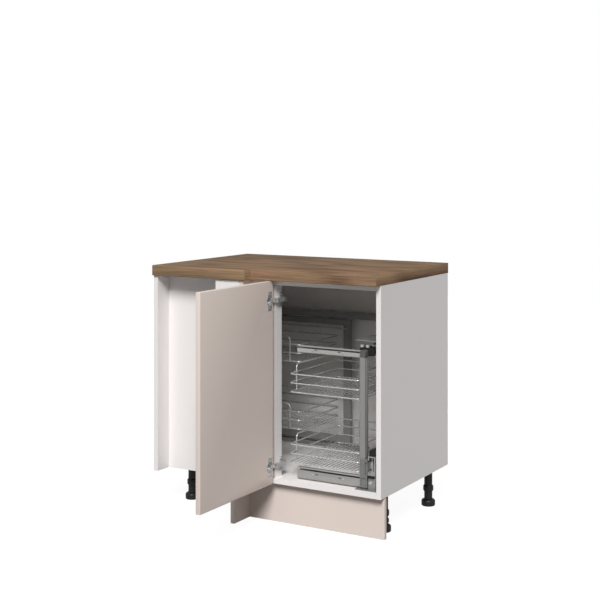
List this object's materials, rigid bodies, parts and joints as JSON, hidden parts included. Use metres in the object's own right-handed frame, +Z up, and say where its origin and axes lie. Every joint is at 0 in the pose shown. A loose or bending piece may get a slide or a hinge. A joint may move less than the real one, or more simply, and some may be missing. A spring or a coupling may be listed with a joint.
{
  "type": "corner base cabinet",
  "caption": "Blind corner kitchen base cabinet with a hinged door, a wire basket pull-out that draws a rear basket unit sideways, a worktop, plinths and screw feet.",
  "frame": {"origin": "middle of the object's floor rectangle, feet on z = 0, door drawn open", "axes": "+X to the right side panel, +Y to the wall, +Z up"},
  "size_m": [0.9, 1.023, 0.9],
  "materials": {
    "melamine_white": "matt melamine on chipboard",
    "lacquer_beige": "satin lacquer on fibreboard",
    "walnut": "matt laminate with walnut grain",
    "hardboard_white": "smooth",
    "steel": "zinc plated",
    "painted_grey": "satin grey",
    "chrome": "bright",
    "black_plastic": "fine grain"
  },
  "bodies": {
    "cabinet": {"side_panel_right": "melamine_white", "side_panel_left": "melamine_white", "bottom_panel": "melamine_white", "top_rail_front": "melamine_white", "top_rail_rear": "melamine_white", "back_panel": "hardboard_white", "blind_panel": "melamine_white", "hinge_stile": "melamine_white", "spacer_strip": "melamine_white", "filler_side": "lacquer_beige", "filler_front": "lacquer_beige", "worktop": "walnut", "hinge_arm_lower": "steel", "hinge_arm_upper": "steel", "hinge_screws": "steel", "plinth_front": "lacquer_beige", "plinth_return": "lacquer_beige", "plinth_corner": "black_plastic", "plinth_clips": "black_plastic", "leg_front_right": "black_plastic", "leg_front_middle": "black_plastic", "leg_front_left": "black_plastic", "leg_rear_right": "black_plastic", "leg_rear_left": "black_plastic", "runner_lower": "steel", "runner_upper": "steel", "runner_brackets": "steel", "runner_caps": "black_plastic", "runner_screws": "chrome", "track_top": "painted_grey", "track_bottom": "painted_grey"},
    "door": {"door": "lacquer_beige", "hinge_cup_lower": "steel", "hinge_cup_upper": "steel", "cup_screws": "chrome"},
    "hinge_links": {"hinge_link_lower": "steel", "hinge_link_upper": "steel"},
    "slide_middles": {"slide_middle_lower": "steel", "slide_middle_upper": "steel"},
    "front_unit": {"slide_inner_lower": "steel", "slide_inner_upper": "steel", "carriage_lower": "painted_grey", "carriage_upper": "black_plastic", "column": "painted_grey", "column_rear": "painted_grey", "frame_bar_upper": "painted_grey", "frame_bar_lower": "painted_grey", "frame_screws": "chrome", "basket_front_upper": "chrome", "basket_front_lower": "chrome"},
    "rear_unit": {"rear_post_left": "painted_grey", "rear_post_right": "painted_grey", "rear_bars": "painted_grey", "basket_rear_upper": "chrome", "basket_rear_lower": "chrome"},
    "foot_front_right": {"foot_front_right": "black_plastic"},
    "foot_front_middle": {"foot_front_middle": "black_plastic"},
    "foot_front_left": {"foot_front_left": "black_plastic"},
    "foot_rear_right": {"foot_rear_right": "black_plastic"},
    "foot_rear_left": {"foot_rear_left": "black_plastic"}
  },
  "joints": [
    {"name": "door_hinge", "type": "hinge", "parent": "cabinet", "child": "door", "pos_m": [0.012, -0.0755, 0.502], "axis": [0, 0, -1], "range_deg": [-90, 5]},
    {"name": "hinge_link_turn", "type": "hinge", "parent": "cabinet", "child": "hinge_links", "pos_m": [0.0364, -0.0638, 0.502], "axis": [0, 0, 1], "range_deg": [-96, 6]},
    {"name": "front_pullout", "type": "slide", "parent": "cabinet", "child": "front_unit", "axis": [0, -1, 0], "range_m": [0, 0.45]},
    {"name": "slide_middle_travel", "type": "slide", "parent": "cabinet", "child": "slide_middles", "axis": [0, -1, 0], "range_m": [0, 0.225]},
    {"name": "rear_travel", "type": "slide", "parent": "cabinet", "child": "rear_unit", "axis": [1, 0, 0], "range_m": [0, 0.1125]},
    {"name": "foot_front_right_screw", "type": "slide", "parent": "cabinet", "child": "foot_front_right", "axis": [0, 0, -1], "range_m": [0, 0.02]},
    {"name": "foot_front_middle_screw", "type": "slide", "parent": "cabinet", "child": "foot_front_middle", "axis": [0, 0, -1], "range_m": [0, 0.02]},
    {"name": "foot_front_left_screw", "type": "slide", "parent": "cabinet", "child": "foot_front_left", "axis": [0, 0, -1], "range_m": [0, 0.02]},
    {"name": "foot_rear_right_screw", "type": "slide", "parent": "cabinet", "child": "foot_rear_right", "axis": [0, 0, -1], "range_m": [0, 0.02]},
    {"name": "foot_rear_left_screw", "type": "slide", "parent": "cabinet", "child": "foot_rear_left", "axis": [0, 0, -1], "range_m": [0, 0.02]}
  ],
  "couplings": [
    {"joint": "hinge_link_turn", "follows": "door_hinge", "ratio": 1.06},
    {"joint": "slide_middle_travel", "follows": "front_pullout", "ratio": 0.5},
    {"joint": "rear_travel", "follows": "front_pullout", "ratio": 0.25}
  ]
}
